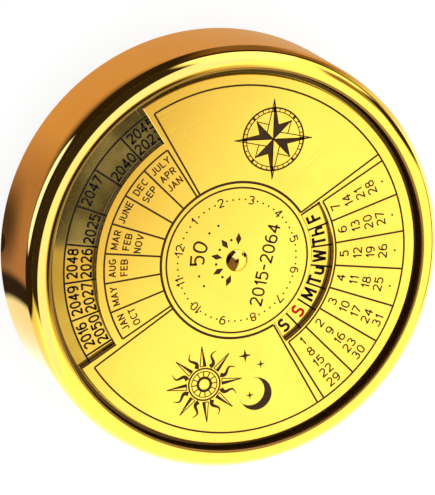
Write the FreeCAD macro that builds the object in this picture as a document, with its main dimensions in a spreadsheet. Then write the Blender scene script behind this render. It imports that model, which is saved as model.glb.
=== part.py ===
import FreeCAD, Part
import math
import os
from types import SimpleNamespace

import Sketcher
from FreeCAD import Rotation, Vector

# A round perpetual desk calendar in polished brass. A drum with a rounded lip holds a calendar
# disc that stays still, and over it a face plate turns on a stud and shows years and weekdays
# through its two windows. The drum is 3 inches across and 3/4 inch high. Its axis is Z, the
# felt under it rests on the plane z = 0, and the face plate's months lie towards +Y at rest.

doc = FreeCAD.newDocument("perpetual_calendar")

# Driving dimensions: millimetres, and degrees where the note says so.
DIMENSIONS = [
    ("case_radius", 38.1, "outside of the drum"),
    ("overall_height", 19.05, "table to the top of the lip"),
    ("case_foot", 0.5, "table to the drum's lower edge, which the felt keeps clear"),
    ("lip_round", 3.4, "large outer radius of the lip"),
    ("lip_inner_round", 0.25, "small radius on the lip's inner edge"),
    ("foot_round", 0.4, "radius on the drum's lower outer edge"),
    ("recess_radius", 34.4, "bore of the drum round the dial"),
    ("web_underside", 13.2, "height of the web's lower face"),
    ("web_thickness", 2.8, "web that carries the disc and the stud"),
    ("cavity_radius", 35.3, "bore of the drum below the web"),
    ("base_seat_radius", 36.8, "counterbore that takes the base plate"),
    ("disc_radius", 34.1, "calendar disc"),
    ("disc_thickness", 0.6, "calendar disc"),
    ("running_gap", 0.2, "gap from the disc up to the face plate"),
    ("plate_radius", 33.35, "face plate"),
    ("plate_thickness", 1.1, "face plate"),
    ("plate_edge_chamfer", 0.12, "chamfer round the face plate and its windows"),
    ("stud_radius", 1.25, "shank of the pivot stud"),
    ("stud_hole_radius", 1.3, "bore that the stud runs in"),
    ("stud_head_radius", 2.0, "dome head of the stud"),
    ("stud_head_rim", 0.15, "straight rim under the dome"),
    ("stud_head_height", 1.1, "dome head of the stud, with its rim"),
    ("stud_head_gap", 0.05, "running gap from the face plate to the head"),
    ("stud_tail", 9.2, "height of the stud's lower end"),
    ("thrust_radius", 6.0, "thrust washer under the face plate"),
    ("thrust_thickness", 0.18, "thrust washer under the face plate"),
    ("washer_hole_radius", 1.4, "hole of the washers under the web"),
    ("spring_radius", 3.2, "cone spring washer"),
    ("spring_thickness", 0.35, "cone spring washer"),
    ("spring_rise", 0.45, "height of the cone of the spring washer"),
    ("washer_radius", 3.0, "plain washer"),
    ("washer_thickness", 0.5, "plain washer"),
    ("nut_across_flats", 5.0, "lock nut"),
    ("nut_height", 2.0, "lock nut"),
    ("pin_radius", 0.75, "locating pins of the calendar disc"),
    ("pin_circle", 9.0, "distance of the locating pins from the axis"),
    ("pin_spread", 140.0, "degrees between the pins, so the disc fits one way only"),
    ("pin_depth", 2.3, "depth of the pin holes in the web"),
    ("pin_reach", 0.54, "how far a locating pin stands up into the calendar disc"),
    ("ballast_radius", 30.0, "ballast weight"),
    ("ballast_hole_radius", 8.0, "hole of the ballast round the lock nut"),
    ("ballast_chamfer", 0.8, "chamfer on the edges of the ballast"),
    ("base_radius", 36.6, "base plate"),
    ("base_thickness", 1.8, "base plate"),
    ("screw_circle", 20.0, "distance of the base screws from the axis"),
    ("screw_radius", 1.5, "shank of a base screw"),
    ("screw_head_radius", 2.75, "countersunk head of a base screw"),
    ("screw_length", 13.8, "base screw with its head"),
    ("screw_clearance", 0.12, "room round the screw in the base and the ballast"),
    ("screw_slot_length", 6.05, "driver slot, past both sides of the head"),
    ("screw_slot_width", 0.8, "driver slot"),
    ("screw_slot_depth", 0.6, "driver slot"),
    ("thread_depth", 2.2, "depth of the screw holes in the web"),
    ("felt_radius", 36.3, "felt pad"),
    ("felt_thickness", 1.0, "felt pad"),
    ("line_width", 0.34, "engraved line"),
    ("ring_line_width", 0.46, "heavier engraved ring round the middle"),
    ("line_depth", 0.15, "engraved line"),
    ("line_fill", 0.12, "enamel in the engraved line"),
    ("dial_circle", 31.4, "outer engraved circle of the plate and of the disc"),
    ("inner_ring", 13.1, "inner engraved ring"),
    ("middle_ring", 14.1, "outer engraved ring round the middle"),
    ("months_arc", 24.5, "arc round the month cells"),
    ("dates_arc", 18.5, "arc inside the date cells"),
    ("cell_angle", 12.68, "degrees of one cell on the face plate"),
    ("border_angle", 46.95, "degrees from a window's middle to the border line"),
    ("year_window_inner", 26.0, "inner edge of the year window"),
    ("year_window_half_angle", 44.8, "degrees from its middle to its end"),
    ("weekday_window_inner", 14.0, "inner edge of the weekday window"),
    ("weekday_window_outer", 18.0, "outer edge of the weekday window"),
    ("weekday_window_half_angle", 45.4, "degrees from its middle to its end"),
    ("disc_sectors", 28.0, "sectors of the calendar disc"),
    ("disc_setting", 4.49, "degrees from +X to the disc's first sector line"),
    ("disc_year_inner", 24.8, "inner end of the year cells on the disc"),
    ("disc_weekday_inner", 13.6, "inner end of the weekday cells on the disc"),
    ("disc_weekday_outer", 18.6, "outer end of the weekday cells on the disc"),
]

CELLS = 7
SCREWS = 3
PINS = 2
NUT_SIDES = 6
FULL_TURN = 360.0
MONTHS_SIDE = 90.0
DATES_SIDE = -90.0
TOLERANCE = 1e-4

# A cutting form is made this many times as high as what it cuts, so that it passes right through.
THROUGH = 3
# A groove's form is this many times as deep as the groove, so that it stands clear of the face.
PROUD = 2

sheet = doc.addObject("Spreadsheet::Sheet", "Dims")
for row, (alias, number, note) in enumerate(DIMENSIONS, start=1):
    sheet.set(f"A{row}", alias)
    sheet.set(f"B{row}", str(number))
    sheet.set(f"C{row}", note)
    sheet.setAlias(f"B{row}", alias)
doc.recompute()


class Size:
    """A length or angle: its number, and the sheet expression that gives the same number."""

    def __init__(self, number, expression):
        self.number = number
        self.expression = expression

    def joined(self, sign, other, number):
        """Both terms of a sum, product or quotient, as one size."""
        term = other.expression if isinstance(other, Size) else str(other)
        return Size(number, f"({self.expression} {sign} {term})")

    def __add__(self, other):
        return self.joined("+", other, self.number + plain(other))

    def __sub__(self, other):
        return self.joined("-", other, self.number - plain(other))

    def __mul__(self, other):
        return self.joined("*", other, self.number * plain(other))

    def __truediv__(self, other):
        return self.joined("/", other, self.number / plain(other))


def plain(value):
    """The number of a size, or the number itself."""
    return value.number if isinstance(value, Size) else value


def cosine(angle):
    """Cosine of an angle in degrees."""
    return Size(math.cos(math.radians(angle.number)), f"cos({angle.expression})")


def sine(angle):
    """Sine of an angle in degrees."""
    return Size(math.sin(math.radians(angle.number)), f"sin({angle.expression})")


dims = SimpleNamespace(**{alias: Size(number, f"Dims.{alias}") for alias, number, note in DIMENSIONS})
ZERO = Size(0.0, "0")
FULL = Size(FULL_TURN, str(FULL_TURN))
MONTHS = Size(MONTHS_SIDE, str(MONTHS_SIDE))
DATES = Size(DATES_SIDE, str(DATES_SIDE))

# Heights that several pieces share, from the table upwards.
web_top = dims.web_underside + dims.web_thickness
disc_top = web_top + dims.disc_thickness
plate_bottom = disc_top + dims.running_gap
plate_top = plate_bottom + dims.plate_thickness
base_top = dims.felt_thickness + dims.base_thickness


def bind(obj, prop, size):
    """Give a property its number and the expression behind it."""
    setattr(obj, prop, size.number)
    obj.setExpression(prop, size.expression)


def lift(obj, z):
    """Raise a primitive or a sketch to the height z."""
    path = "AttachmentOffset" if obj.isDerivedFrom("Sketcher::SketchObject") else "Placement"
    place = getattr(obj, path)
    place.Base.z = z.number
    setattr(obj, path, place)
    obj.setExpression(f"{path}.Base.z", z.expression)


def place_on_ray(obj, angle, along, across, z):
    """Turn a primitive by an angle about Z, and move it along that ray and across it."""
    x = along * cosine(angle) - across * sine(angle)
    y = along * sine(angle) + across * cosine(angle)
    obj.Placement.Rotation = Rotation(Vector(0, 0, 1), angle.number)
    obj.Placement.Base = Vector(x.number, y.number, z.number)
    obj.setExpression("Placement.Rotation.Angle", angle.expression)
    obj.setExpression("Placement.Base.x", x.expression)
    obj.setExpression("Placement.Base.y", y.expression)
    obj.setExpression("Placement.Base.z", z.expression)


def new_body(name):
    """An empty body whose label is the piece's name."""
    body = doc.addObject("PartDesign::Body", name)
    body.Label = name
    return body


def new_sketch(body, name, role, z=None):
    """A sketch on one of the body's own origin planes, raised to z if one is given."""
    sketch = body.newObject("Sketcher::SketchObject", name)
    plane = [item for item in body.Origin.OriginFeatures if item.Role == role][0]
    sketch.AttachmentSupport = [(plane, "")]
    sketch.MapMode = "FlatFace"
    if z is not None:
        lift(sketch, z)
    return sketch


def hold(sketch, constraint, size):
    """Add a constraint and bind its value to the sheet."""
    index = sketch.addConstraint(constraint)
    sketch.setExpression(f"Constraints[{index}]", size.expression)


def hold_point(sketch, line, x, y):
    """Hold the first point of a line at its distances from the origin."""
    for size, kind, axis in ((x, "DistanceX", -2), (y, "DistanceY", -1)):
        if abs(size.number) < TOLERANCE:
            sketch.addConstraint(Sketcher.Constraint("PointOnObject", line, 1, axis))
        else:
            hold(sketch, Sketcher.Constraint(kind, -1, 1, line, 1, size.number), size)


def outline(sketch, corners):
    """Closed polygon through corners given as pairs of sizes."""
    points = [Vector(x.number, y.number, 0) for x, y in corners]
    count = len(points)
    for index in range(count):
        sketch.addGeometry(Part.LineSegment(points[index], points[(index + 1) % count]), False)
    for index in range(count):
        sketch.addConstraint(Sketcher.Constraint("Coincident", index, 2, (index + 1) % count, 1))
    for index, (x, y) in enumerate(corners):
        hold_point(sketch, index, x, y)


def circle(sketch, radius, x=ZERO):
    """Circle centred on the sketch's X axis, at the origin unless x is given."""
    shape = Part.Circle(Vector(x.number, 0, 0), Vector(0, 0, 1), radius.number)
    index = sketch.addGeometry(shape, False)
    hold(sketch, Sketcher.Constraint("Radius", index, radius.number), radius)
    if x is ZERO:
        sketch.addConstraint(Sketcher.Constraint("Coincident", index, 3, -1, 1))
    else:
        sketch.addConstraint(Sketcher.Constraint("PointOnObject", index, 3, -1))
        hold(sketch, Sketcher.Constraint("DistanceX", -1, 1, index, 3, x.number), x)


def ring_sector(sketch, inner, outer, middle, half_angle):
    """Part of a ring, between two radii and to half_angle each side of the middle angle."""
    low = half_angle * -1 + middle
    high = half_angle + middle
    centre = Vector(0, 0, 0)
    rays = []
    for angle in (low, high):
        direction = Vector(cosine(angle).number, sine(angle).number, 0)
        ends = (direction * inner.number, direction * outer.number)
        rays.append(sketch.addGeometry(Part.LineSegment(*ends), False))
    for radius, end in ((inner, 1), (outer, 2)):
        full = Part.Circle(centre, Vector(0, 0, 1), radius.number)
        span = (math.radians(low.number), math.radians(high.number))
        arc = sketch.addGeometry(Part.ArcOfCircle(full, *span), False)
        sketch.addConstraint(Sketcher.Constraint("Coincident", arc, 3, -1, 1))
        sketch.addConstraint(Sketcher.Constraint("Coincident", arc, 1, rays[0], end))
        sketch.addConstraint(Sketcher.Constraint("Coincident", arc, 2, rays[1], end))
        hold(sketch, Sketcher.Constraint("Radius", arc, radius.number), radius)
    for ray, angle in zip(rays, (low, high)):
        sketch.addConstraint(Sketcher.Constraint("PointOnObject", -1, 1, ray))
        hold(sketch, Sketcher.Constraint("Angle", ray, math.radians(angle.number)), angle)


def turned(body, name, corners):
    """Solid of revolution about Z, from corners given as pairs of radius and height."""
    sketch = new_sketch(body, f"{name}_profile", "XZ_Plane")
    outline(sketch, corners)
    turning = body.newObject("PartDesign::Revolution", name)
    turning.Profile = sketch
    turning.ReferenceAxis = (sketch, ["V_Axis"])
    turning.Angle = FULL_TURN
    doc.recompute()
    return turning


def padded(body, name, z, height, *radii):
    """Disc or ring of the given radii, from z upwards."""
    sketch = new_sketch(body, f"{name}_circles", "XY_Plane", z)
    for radius in radii:
        circle(sketch, radius)
    pad = body.newObject("PartDesign::Pad", name)
    pad.Profile = sketch
    bind(pad, "Length", height)
    doc.recompute()
    return pad


def pocketed(body, name, sketch, depth=None, upwards=False):
    """Cut the sketch's shape away, to a depth or through everything, and check that it cut."""
    before = body.Shape.Volume
    pocket = body.newObject("PartDesign::Pocket", name)
    pocket.Profile = sketch
    pocket.Reversed = upwards
    if depth is None:
        pocket.Type = "ThroughAll"
    else:
        bind(pocket, "Length", depth)
    doc.recompute()
    if body.Shape.Volume > before - TOLERANCE:
        raise RuntimeError(f"{name} cuts nothing")
    return pocket


def patterned(body, name, feature, angle, count):
    """Repeat a feature about Z, spread over the angle; a full turn leaves equal steps."""
    pattern = body.newObject("PartDesign::PolarPattern", name)
    pattern.Originals = [feature]
    pattern.Axis = (feature.Profile[0], ["N_Axis"])
    bind(pattern, "Angle", angle)
    pattern.Occurrences = count
    body.Tip = pattern
    doc.recompute()
    return pattern


def edges_where(shape, wanted):
    """Names of the edges that pass a test."""
    return [f"Edge{number}" for number, edge in enumerate(shape.Edges, start=1) if wanted(edge)]


def circle_at(radius, z):
    """Test for a circular edge of one radius at one height."""
    def wanted(edge):
        curve = edge.Curve
        if not isinstance(curve, Part.Circle):
            return False
        same_radius = abs(curve.Radius - radius.number) < TOLERANCE
        return same_radius and abs(curve.Center.z - z.number) < TOLERANCE
    return wanted


def dressed(body, kind, name, base, wanted, prop, size):
    """Fillet or chamfer the edges of a feature that pass a test."""
    feature = body.newObject(f"PartDesign::{kind}", name)
    feature.Base = (base, edges_where(base.Shape, wanted))
    bind(feature, prop, size)
    doc.recompute()
    return feature


def cylinder(name, radius, height, z):
    """Upright cylinder on the axis, from z upwards."""
    obj = doc.addObject("Part::Cylinder", name)
    bind(obj, "Radius", radius)
    bind(obj, "Height", height)
    lift(obj, z)
    return obj


def cut(name, base, tool):
    """One shape less another."""
    obj = doc.addObject("Part::Cut", name)
    obj.Base = base
    obj.Tool = tool
    obj.Label = name
    return obj


def fused(name, shapes):
    """Several shapes as one."""
    obj = doc.addObject("Part::MultiFuse", name)
    obj.Shapes = shapes
    obj.Refine = True
    return obj


def grouped(name, shapes):
    """Identical solids as one piece's group."""
    obj = doc.addObject("Part::Compound", name)
    obj.Links = shapes
    obj.Label = name
    return obj


def ring_line(name, radius, width, z, height, start, sweep):
    """Bar bent round the axis: an engraved circle, or the part of one from start over sweep."""
    outer = cylinder(f"{name}_outer", radius + width / 2, height, z)
    outer.Placement.Rotation = Rotation(Vector(0, 0, 1), start.number)
    outer.setExpression("Placement.Rotation.Angle", start.expression)
    bind(outer, "Angle", sweep)
    inner = cylinder(f"{name}_inner", radius - width / 2, height * THROUGH, z - height)
    return cut(name, outer, inner)


def ray_line(name, angle, inner, outer, width, z, height):
    """Straight bar along a ray: an engraved line between two cells."""
    obj = doc.addObject("Part::Box", name)
    bind(obj, "Length", outer - inner)
    bind(obj, "Width", width)
    bind(obj, "Height", height)
    place_on_ray(obj, angle, inner, width * -0.5, z)
    return obj


def plate_lines(name, depth, fill):
    """Lines of the face plate, filled to a height above the bottom of the engraving."""
    z = plate_top - depth
    width = dims.line_width
    edge = dims.cell_angle * (CELLS / 2)
    around = dims.border_angle * -2 + FULL
    rings = [
        ("inner", dims.inner_ring, width, ZERO, FULL),
        ("middle", dims.middle_ring, dims.ring_line_width, dims.border_angle + DATES, around),
        ("outer", dims.dial_circle, width, dims.border_angle + MONTHS, around),
        ("months", dims.months_arc, width, edge * -1 + MONTHS, edge * 2),
        ("dates", dims.dates_arc, width, edge * -1 + DATES, edge * 2),
    ]
    shapes = [
        ring_line(f"{name}_{label}", radius, line, z, fill, start, sweep)
        for label, radius, line, start, sweep in rings
    ]
    sides = (
        ("month", MONTHS, dims.middle_ring, dims.months_arc),
        ("date", DATES, dims.dates_arc, dims.dial_circle),
    )
    for side, middle, inner, outer in sides:
        for index in range(CELLS + 1):
            angle = dims.cell_angle * (index - CELLS / 2) + middle
            label = f"{name}_{side}_{index}"
            shapes.append(ray_line(label, angle, inner, outer, width, z, fill))
        for index, turn in enumerate((-1, 1)):
            angle = dims.border_angle * turn + middle
            label = f"{name}_{side}_border_{index}"
            shapes.append(ray_line(label, angle, dims.middle_ring, dims.dial_circle, width, z, fill))
    return fused(name, shapes)


def disc_lines(name, depth, fill):
    """Lines of the calendar disc: its circles, and a ray between every two cells."""
    z = disc_top - depth
    width = dims.line_width
    circles = (dims.dial_circle, dims.disc_year_inner, dims.disc_weekday_outer, dims.disc_weekday_inner)
    shapes = [
        ring_line(f"{name}_circle_{index}", radius, width, z, fill, ZERO, FULL)
        for index, radius in enumerate(circles)
    ]
    zones = (
        ("year", dims.disc_year_inner, dims.dial_circle),
        ("weekday", dims.disc_weekday_inner, dims.disc_weekday_outer),
    )
    for zone, inner, outer in zones:
        for index in range(int(dims.disc_sectors.number)):
            angle = FULL / dims.disc_sectors * index + dims.disc_setting
            shapes.append(ray_line(f"{name}_{zone}_{index}", angle, inner, outer, width, z, fill))
    return fused(name, shapes)


def screw_forms(name, extra):
    """Countersunk screws on their circle, each larger all round by the extra."""
    z = dims.felt_thickness
    head = dims.screw_head_radius - dims.screw_radius
    shapes = []
    for index in range(SCREWS):
        angle = FULL / SCREWS * index + MONTHS
        cone = doc.addObject("Part::Cone", f"{name}_head_{index}")
        bind(cone, "Radius1", dims.screw_head_radius + extra)
        bind(cone, "Radius2", dims.screw_radius + extra)
        bind(cone, "Height", head)
        place_on_ray(cone, angle, dims.screw_circle, ZERO, z)
        shank = doc.addObject("Part::Cylinder", f"{name}_shank_{index}")
        bind(shank, "Radius", dims.screw_radius + extra)
        bind(shank, "Height", dims.screw_length - head)
        place_on_ray(shank, angle, dims.screw_circle, ZERO, head + z)
        shapes.append(fused(f"{name}_{index}", [cone, shank]))
    return shapes


def make_case():
    """Drum: wall with a rounded lip, web across it, and a stepped hollow below."""
    body = new_body("case_body")
    turning = turned(body, "case_turning", [
        (dims.stud_hole_radius, dims.web_underside),
        (dims.cavity_radius, dims.web_underside),
        (dims.cavity_radius, base_top),
        (dims.base_seat_radius, base_top),
        (dims.base_seat_radius, dims.case_foot),
        (dims.case_radius, dims.case_foot),
        (dims.case_radius, dims.overall_height),
        (dims.recess_radius, dims.overall_height),
        (dims.recess_radius, web_top),
        (dims.stud_hole_radius, web_top),
    ])
    rounds = (
        ("lip_outside", dims.case_radius, dims.overall_height, dims.lip_round),
        ("lip_inside", dims.recess_radius, dims.overall_height, dims.lip_inner_round),
        ("foot_edge", dims.case_radius, dims.case_foot, dims.foot_round),
    )
    base = turning
    for name, radius, z, size in rounds:
        base = dressed(body, "Fillet", name, base, circle_at(radius, z), "Radius", size)
    holes = new_sketch(body, "screw_hole_circle", "XY_Plane", dims.web_underside)
    circle(holes, dims.screw_radius, dims.screw_circle)
    place = holes.AttachmentOffset
    place.Rotation = Rotation(Vector(0, 0, 1), MONTHS_SIDE)
    holes.AttachmentOffset = place
    hole = pocketed(body, "screw_hole", holes, dims.thread_depth, upwards=True)
    patterned(body, "screw_holes", hole, FULL, SCREWS)
    pins = new_sketch(body, "pin_hole_circle", "XY_Plane", web_top)
    circle(pins, dims.pin_radius, dims.pin_circle)
    hole = pocketed(body, "pin_hole", pins, dims.pin_depth)
    patterned(body, "pin_holes", hole, dims.pin_spread, PINS)
    return body


def make_disc(grooves):
    """Calendar disc with its bore, its pin holes and its engraved lines."""
    body = new_body("disc_blank")
    padded(body, "disc_pad", web_top, dims.disc_thickness, dims.disc_radius, dims.stud_hole_radius)
    pins = new_sketch(body, "disc_pin_circle", "XY_Plane", disc_top)
    circle(pins, dims.pin_radius, dims.pin_circle)
    hole = pocketed(body, "disc_pin_hole", pins)
    patterned(body, "disc_pin_holes", hole, dims.pin_spread, PINS)
    return cut("calendar_disc", body, grooves)


def make_plate(grooves):
    """Face plate: year window open to the rim, weekday window, chamfered edges, engraved lines."""
    body = new_body("plate_blank")
    padded(body, "plate_pad", plate_bottom, dims.plate_thickness, dims.plate_radius, dims.stud_hole_radius)
    years = new_sketch(body, "year_window_shape", "XY_Plane", plate_top)
    ring_sector(years, dims.year_window_inner, dims.case_radius, MONTHS, dims.year_window_half_angle)
    pocketed(body, "year_window", years)
    weekdays = new_sketch(body, "weekday_window_shape", "XY_Plane", plate_top)
    window = (dims.weekday_window_inner, dims.weekday_window_outer)
    ring_sector(weekdays, *window, DATES, dims.weekday_window_half_angle)
    pocket = pocketed(body, "weekday_window", weekdays)

    def on_top_outside_bore(edge):
        flat = all(abs(vertex.Z - plate_top.number) < TOLERANCE for vertex in edge.Vertexes)
        bore = circle_at(dims.stud_hole_radius, plate_top)
        return flat and not bore(edge)

    size = dims.plate_edge_chamfer
    dressed(body, "Chamfer", "plate_edges", pocket, on_top_outside_bore, "Size", size)
    return cut("face_plate", body, grooves)


def make_stud():
    """Pivot stud: shank, and a head with a straight rim and a dome over it."""
    body = new_body("pivot_stud")
    head_bottom = plate_top + dims.stud_head_gap
    dome_foot = head_bottom + dims.stud_head_rim
    dome_top = head_bottom + dims.stud_head_height - dims.stud_head_gap
    corners = [
        (ZERO, dims.stud_tail),
        (dims.stud_radius, dims.stud_tail),
        (dims.stud_radius, head_bottom),
        (dims.stud_head_radius, head_bottom),
        (dims.stud_head_radius, dome_foot),
    ]
    sketch = new_sketch(body, "stud_profile", "XZ_Plane")
    points = [Vector(x.number, y.number, 0) for x, y in corners]
    apex = Vector(0, dome_top.number, 0)
    for start, end in zip(points, points[1:]):
        sketch.addGeometry(Part.LineSegment(start, end), False)
    rise = dome_top.number - dome_foot.number
    radius = (dims.stud_head_radius.number ** 2 + rise ** 2) / (2 * rise)
    centre = Vector(0, dome_top.number - radius, 0)
    foot_angle = math.atan2(dome_foot.number - centre.y, dims.stud_head_radius.number)
    full = Part.Circle(centre, Vector(0, 0, 1), radius)
    arc = sketch.addGeometry(Part.ArcOfCircle(full, foot_angle, math.pi / 2), False)
    axis = sketch.addGeometry(Part.LineSegment(apex, points[0]), False)
    for index in range(len(points) - 2):
        sketch.addConstraint(Sketcher.Constraint("Coincident", index, 2, index + 1, 1))
    sketch.addConstraint(Sketcher.Constraint("Coincident", arc - 1, 2, arc, 1))
    sketch.addConstraint(Sketcher.Constraint("Coincident", arc, 2, axis, 1))
    sketch.addConstraint(Sketcher.Constraint("Coincident", axis, 2, 0, 1))
    sketch.addConstraint(Sketcher.Constraint("PointOnObject", arc, 3, -2))
    for index, (x, y) in enumerate(corners[:-1]):
        hold_point(sketch, index, x, y)
    foot_x = Sketcher.Constraint("DistanceX", -1, 1, arc, 1, dims.stud_head_radius.number)
    hold(sketch, foot_x, dims.stud_head_radius)
    hold(sketch, Sketcher.Constraint("DistanceY", -1, 1, arc, 1, dome_foot.number), dome_foot)
    hold_point(sketch, axis, ZERO, dome_top)
    turning = body.newObject("PartDesign::Revolution", "stud_turning")
    turning.Profile = sketch
    turning.ReferenceAxis = (sketch, ["V_Axis"])
    turning.Angle = FULL_TURN
    doc.recompute()
    return body


def make_washers():
    """Thrust washer under the face plate, and the cone spring and plain washer under the web."""
    thrust = new_body("thrust_washer")
    padded(thrust, "thrust_pad", disc_top, dims.thrust_thickness, dims.thrust_radius, dims.stud_hole_radius)
    spring = new_body("spring_washer")
    outer_top = dims.web_underside
    inner_top = outer_top - dims.spring_rise
    turned(spring, "spring_turning", [
        (dims.washer_hole_radius, inner_top - dims.spring_thickness),
        (dims.spring_radius, outer_top - dims.spring_thickness),
        (dims.spring_radius, outer_top),
        (dims.washer_hole_radius, inner_top),
    ])
    washer = new_body("plain_washer")
    radii = (dims.washer_radius, dims.washer_hole_radius)
    padded(washer, "washer_pad", washer_underside, dims.washer_thickness, *radii)
    return thrust, spring, washer


def make_nut():
    """Hexagon lock nut that holds the stud under the web."""
    nut = doc.addObject("Part::Prism", "nut_hexagon")
    nut.Polygon = NUT_SIDES
    bind(nut, "Circumradius", dims.nut_across_flats / math.sqrt(3))
    bind(nut, "Height", dims.nut_height)
    lift(nut, washer_underside - dims.nut_height)
    hole_bottom = washer_underside - dims.nut_height * 2
    hole = cylinder("nut_hole", dims.stud_radius, dims.nut_height * THROUGH, hole_bottom)
    return cut("lock_nut", nut, hole)


def make_pins():
    """Two pins that stop the calendar disc from turning on the web."""
    shapes = []
    for index in range(PINS):
        pin = doc.addObject("Part::Cylinder", f"pin_{index}")
        bind(pin, "Radius", dims.pin_radius)
        bind(pin, "Height", dims.pin_depth + dims.pin_reach)
        place_on_ray(pin, dims.pin_spread * index, dims.pin_circle, ZERO, web_top - dims.pin_depth)
        shapes.append(pin)
    return grouped("locating_pins", shapes)


def make_ballast(clearance):
    """Iron ring that fills the hollow between the base plate and the web."""
    body = new_body("ballast_blank")
    height = dims.web_underside - base_top
    pad = padded(body, "ballast_pad", base_top, height, dims.ballast_radius, dims.ballast_hole_radius)

    def is_circle(edge):
        return isinstance(edge.Curve, Part.Circle)

    dressed(body, "Chamfer", "ballast_edges", pad, is_circle, "Size", dims.ballast_chamfer)
    return cut("ballast_weight", body, clearance)


def make_base(clearance):
    """Base plate that closes the drum, with three countersunk holes."""
    body = new_body("base_blank")
    padded(body, "base_pad", dims.felt_thickness, dims.base_thickness, dims.base_radius)
    return cut("base_plate", body, clearance)


def make_screws():
    """Three slotted countersunk screws, from the base plate through the ballast to the web."""
    shapes = []
    for index, form in enumerate(screw_forms("screw", ZERO)):
        slot = doc.addObject("Part::Box", f"screw_slot_{index}")
        bind(slot, "Length", dims.screw_slot_length)
        bind(slot, "Width", dims.screw_slot_width)
        bind(slot, "Height", dims.screw_slot_depth)
        along = dims.screw_circle - dims.screw_slot_length / 2
        across = dims.screw_slot_width * -0.5
        place_on_ray(slot, FULL / SCREWS * index + MONTHS, along, across, dims.felt_thickness)
        shapes.append(cut(f"slotted_screw_{index}", form, slot))
    return grouped("base_screws", shapes)


def make_felt():
    """Felt pad glued under the base plate."""
    body = new_body("felt_pad")
    padded(body, "felt_layer", ZERO, dims.felt_thickness, dims.felt_radius)
    return body


washer_underside = dims.web_underside - dims.spring_rise - dims.spring_thickness - dims.washer_thickness
screw_room = fused("screw_room", screw_forms("room", dims.screw_clearance))

pieces = [
    make_case(),
    make_disc(disc_lines("disc_grooves", dims.line_depth, dims.line_depth * PROUD)),
    make_plate(plate_lines("plate_grooves", dims.line_depth, dims.line_depth * PROUD)),
    make_stud(),
    *make_washers(),
    make_nut(),
    make_pins(),
    make_ballast(screw_room),
    make_base(screw_room),
    make_screws(),
    make_felt(),
]
for label, lines in (("disc_line_enamel", disc_lines), ("face_line_enamel", plate_lines)):
    enamel = lines(label, dims.line_depth, dims.line_fill)
    enamel.Label = label
    pieces.append(enamel)
doc.recompute()

for obj in doc.Objects:
    if "Invalid" in obj.State or "Error" in obj.State:
        raise RuntimeError(f"{obj.Name} failed: {obj.State}")

os.makedirs("parts", exist_ok=True)
for piece in pieces:
    shape = piece.Shape
    if shape.isNull() or not shape.isValid():
        raise RuntimeError(f"{piece.Label} has no valid shape")
    box = shape.optimalBoundingBox(False, False)
    print(f"{piece.Label}: {len(shape.Solids)} solids, {shape.Volume / 1000:.2f} cm3, "
          f"r {box.XMax:.2f}, z {box.ZMin:.2f} to {box.ZMax:.2f}")
    shape.exportStep(f"parts/{piece.Label}.step")
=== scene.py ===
# %% [markdown]
# A round brass desk calendar, dressed for its portrait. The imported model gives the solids: a drum,
# a fixed disc of years and weekdays, and a face plate that turns over it. This file gives them
# their finish, adds the printed figures, and sets up a small photo studio round them.

# %% Load the frame
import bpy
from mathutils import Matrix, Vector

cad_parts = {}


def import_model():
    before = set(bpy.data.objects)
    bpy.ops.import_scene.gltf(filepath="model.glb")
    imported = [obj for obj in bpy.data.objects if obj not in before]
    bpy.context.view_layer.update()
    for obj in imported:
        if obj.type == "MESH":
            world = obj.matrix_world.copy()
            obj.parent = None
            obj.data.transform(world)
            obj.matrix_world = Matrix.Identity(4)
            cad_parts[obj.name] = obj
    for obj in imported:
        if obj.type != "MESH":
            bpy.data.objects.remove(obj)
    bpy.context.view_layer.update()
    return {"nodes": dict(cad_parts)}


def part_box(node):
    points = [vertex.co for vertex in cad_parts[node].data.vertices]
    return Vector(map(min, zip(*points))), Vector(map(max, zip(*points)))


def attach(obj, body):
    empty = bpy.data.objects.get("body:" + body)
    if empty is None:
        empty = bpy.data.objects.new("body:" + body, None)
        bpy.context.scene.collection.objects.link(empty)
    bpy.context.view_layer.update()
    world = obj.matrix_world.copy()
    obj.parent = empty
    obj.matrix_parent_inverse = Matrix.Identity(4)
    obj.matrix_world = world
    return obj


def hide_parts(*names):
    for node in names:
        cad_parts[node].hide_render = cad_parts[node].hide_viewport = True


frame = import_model()

import datetime
import math

import bmesh
import bpy
import numpy as np
from mathutils import Matrix, Vector

MM = 0.001

# %% [markdown]
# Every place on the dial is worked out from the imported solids, so that figures and cells agree.
# The dial's outer engraved circle is the ruler: the other radii are shares of it.

# %% Sizes read from the frame
plate_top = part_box("face_plate")[1].z
disc_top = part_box("calendar_disc")[1].z
case_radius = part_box("case_body")[1].x
case_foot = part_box("case_body")[0].z
lip_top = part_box("case_body")[1].z
web_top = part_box("calendar_disc")[0].z
CIRCLE_MARGIN = 0.17 * MM
dial_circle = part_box("face_line_enamel")[1].x - CIRCLE_MARGIN
disc_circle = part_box("disc_line_enamel")[1].x
CELL = math.radians(12.68)
SECTORS = 28
DISC_TURN = math.radians(-1.94)
MONTHS_SIDE = math.pi / 2
DATES_SIDE = -math.pi / 2
print("dial circle in mm:", round(dial_circle / MM, 2), "plate top:", round(plate_top / MM, 2))

# %% [markdown]
# The camera stands about 0.8 m away and looks down at the face at 66 degrees, with its long side
# rolled so that the months lie at the left. A long lens keeps the circles nearly true ellipses.
# Direction, distance and roll are plain numbers, so the view can be read off them.

# %% Camera
LENS_MM = 336.5
SENSOR_MM = 36.0
SIGHT_END = 20.0
CAMERA_DISTANCE = 810.8 * MM
CAMERA_AZIMUTH = math.radians(65.44)
CAMERA_ELEVATION = math.radians(65.9)
CAMERA_ROLL = math.radians(126.15)
AIM_RIGHT = 3.43 * MM
AIM_DOWN = 2.26 * MM

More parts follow.
